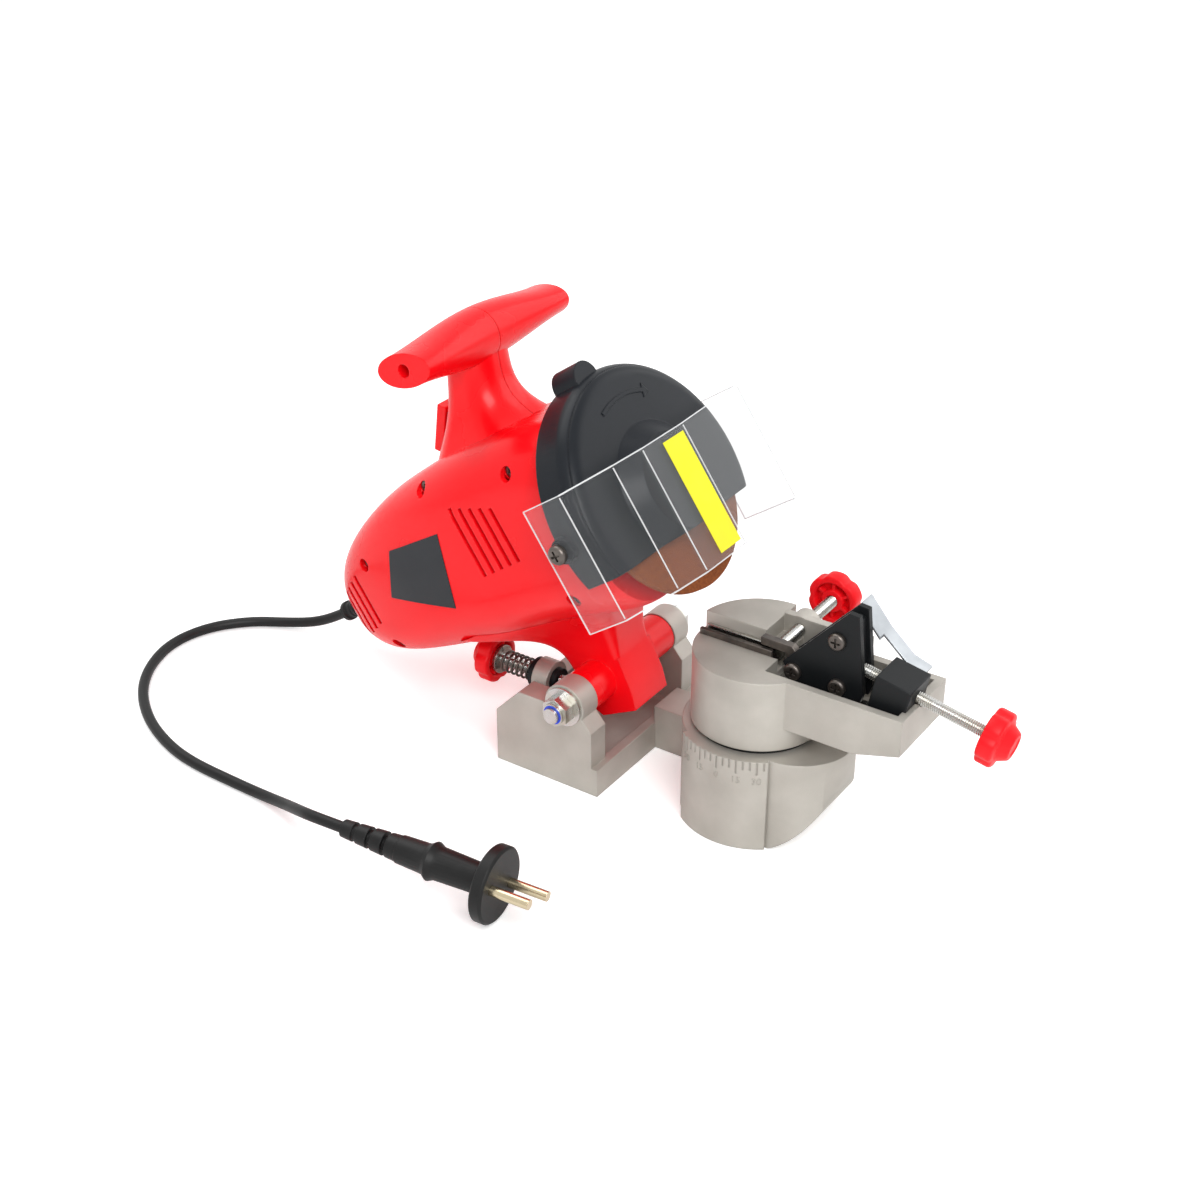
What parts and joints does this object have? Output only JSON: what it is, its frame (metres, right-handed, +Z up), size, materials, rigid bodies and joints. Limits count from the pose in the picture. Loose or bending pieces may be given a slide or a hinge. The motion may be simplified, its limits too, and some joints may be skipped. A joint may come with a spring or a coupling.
{
  "type": "electric chainsaw sharpener",
  "caption": "Bench chainsaw sharpener with a tilting motor head and grinding wheel over a turning chain vise on a cast base, with guard, clear shield and mains lead.",
  "frame": {"origin": "on the underside of the base block, below the middle of the head's hinge", "axes": "+X along the hinge, -Y forward from the hinge to the vise, +Z up"},
  "size_m": [0.2272, 0.4624, 0.215],
  "materials": {
    "cast_metal": "sand-cast, blasted",
    "zinc_steel": "zinc plated",
    "dark_steel": "blackened",
    "red_shell": "glossy moulded",
    "red_knob": "satin moulded",
    "black_plastic": "fine moulded grain",
    "black_rubber": "satin PVC",
    "plug_brass": "turned",
    "clear_plastic": "clear polycarbonate",
    "abrasive": "bonded grit",
    "blue_nylon": "nylon",
    "motor_steel": "laminated steel",
    "copper": "turned copper",
    "carbon": "pressed carbon"
  },
  "bodies": {
    "base": {"base_casting": "cast_metal", "hinge_bolt": "zinc_steel", "hinge_nut": "zinc_steel", "nut_nylon_ring": "blue_nylon", "hinge_washer_near": "zinc_steel", "hinge_washer_far": "zinc_steel", "depth_screw_holder": "black_plastic", "depth_spring": "dark_steel", "vise_spacer": "black_plastic", "vise_pivot_bolt": "zinc_steel", "vise_pivot_washer": "zinc_steel", "vise_pivot_nut": "zinc_steel", "mains_cord": "black_rubber", "plug_body": "black_rubber", "plug_pins": "plug_brass"},
    "depth_follower": {"depth_spring_washer": "zinc_steel"},
    "depth_adjuster": {"depth_screw": "zinc_steel", "depth_knob": "red_knob"},
    "head": {"hinge_arm": "red_shell", "hinge_bushing": "plug_brass", "left_shell": "red_shell", "right_shell": "red_shell", "shell_screws": "dark_steel", "switch_bezel": "red_shell", "switch_body": "black_plastic", "wheel_guard": "black_plastic", "guard_screws": "dark_steel", "shield_screws": "dark_steel", "motor_stator": "motor_steel", "front_bearing": "motor_steel", "rear_bearing": "motor_steel", "brush_holders": "plug_brass", "brushes": "carbon", "cord_sleeve": "black_rubber"},
    "rocker": {"switch_rocker": "black_plastic"},
    "rotor": {"spindle": "zinc_steel", "armature": "motor_steel", "commutator": "copper", "fan": "black_plastic", "inner_flange": "zinc_steel", "grinding_wheel": "abrasive", "outer_flange": "zinc_steel", "wheel_nut": "zinc_steel"},
    "shield": {"clear_shield": "clear_plastic"},
    "vise": {"vise_head": "cast_metal", "near_rail": "dark_steel", "nut_block": "black_plastic", "guide_bar": "zinc_steel"},
    "clamp": {"clamp_plate": "zinc_steel"},
    "clamp_spindle": {"clamp_screw": "zinc_steel", "clamp_knob": "red_knob"},
    "stop_carriage": {"stop_plate_near": "black_plastic", "stop_plate_far": "black_plastic", "stop_spacer": "black_plastic", "stop_screws": "dark_steel", "stop_lever": "zinc_steel"},
    "pawl": {"stop_pawl": "dark_steel"},
    "adjuster": {"adjusting_screw": "zinc_steel", "adjusting_knob": "red_knob"}
  },
  "joints": [
    {"name": "head_swing", "type": "hinge", "parent": "base", "child": "head", "pos_m": [0, 0, 0.0455], "axis": [1, 0, 0], "range_deg": [0, 13]},
    {"name": "wheel_spin", "type": "hinge", "parent": "head", "child": "rotor", "pos_m": [-0.0085, -0.02692, 0.15242], "axis": [0, -0.8181, 0.575], "continuous": true},
    {"name": "rocker_tilt", "type": "hinge", "parent": "head", "child": "rocker", "pos_m": [-0.004, 0.09418, 0.1514], "axis": [1, 0, 0], "range_deg": [0, 9]},
    {"name": "shield_tilt", "type": "hinge", "parent": "head", "child": "shield", "pos_m": [-0.0085, -0.01808, 0.14499], "axis": [-1, 0, 0], "range_deg": [0, 10]},
    {"name": "vise_turn", "type": "hinge", "parent": "base", "child": "vise", "pos_m": [-0.0085, -0.0832, 0.0484], "axis": [0, 0, 1], "range_deg": [-35, 35]},
    {"name": "depth_travel", "type": "slide", "parent": "base", "child": "depth_follower", "axis": [0, 1, 0], "range_m": [0, 0.0026]},
    {"name": "depth_turn", "type": "hinge", "parent": "depth_follower", "child": "depth_adjuster", "pos_m": [-0.009, 0.06, 0.03], "axis": [0, 1, 0], "range_deg": [0, 900]},
    {"name": "clamp_travel", "type": "slide", "parent": "vise", "child": "clamp", "axis": [-1, 0, 0], "range_m": [0, 0.0016]},
    {"name": "clamp_turn", "type": "hinge", "parent": "clamp", "child": "clamp_spindle", "pos_m": [0.04, -0.092, 0.0895], "axis": [-1, 0, 0], "range_deg": [0, 540]},
    {"name": "stop_travel", "type": "slide", "parent": "vise", "child": "stop_carriage", "axis": [0, 0.9816, 0.1908], "range_m": [-0.0026, 0.0023]},
    {"name": "stop_turn", "type": "hinge", "parent": "stop_carriage", "child": "adjuster", "pos_m": [-0.0085, -0.152, 0.0904], "axis": [0, 0.9816, 0.1908], "range_deg": [-900, 720]},
    {"name": "pawl_lift", "type": "hinge", "parent": "stop_carriage", "child": "pawl", "pos_m": [-0.0085, -0.1035, 0.0845], "axis": [1, 0, 0], "range_deg": [0, 40]}
  ],
  "couplings": [
    {"joint": "depth_travel", "follows": "depth_turn", "m_per_rad": 0.00015915},
    {"joint": "clamp_travel", "follows": "clamp_turn", "m_per_rad": 0.00015915},
    {"joint": "stop_travel", "follows": "stop_turn", "m_per_rad": 0.00015915}
  ]
}
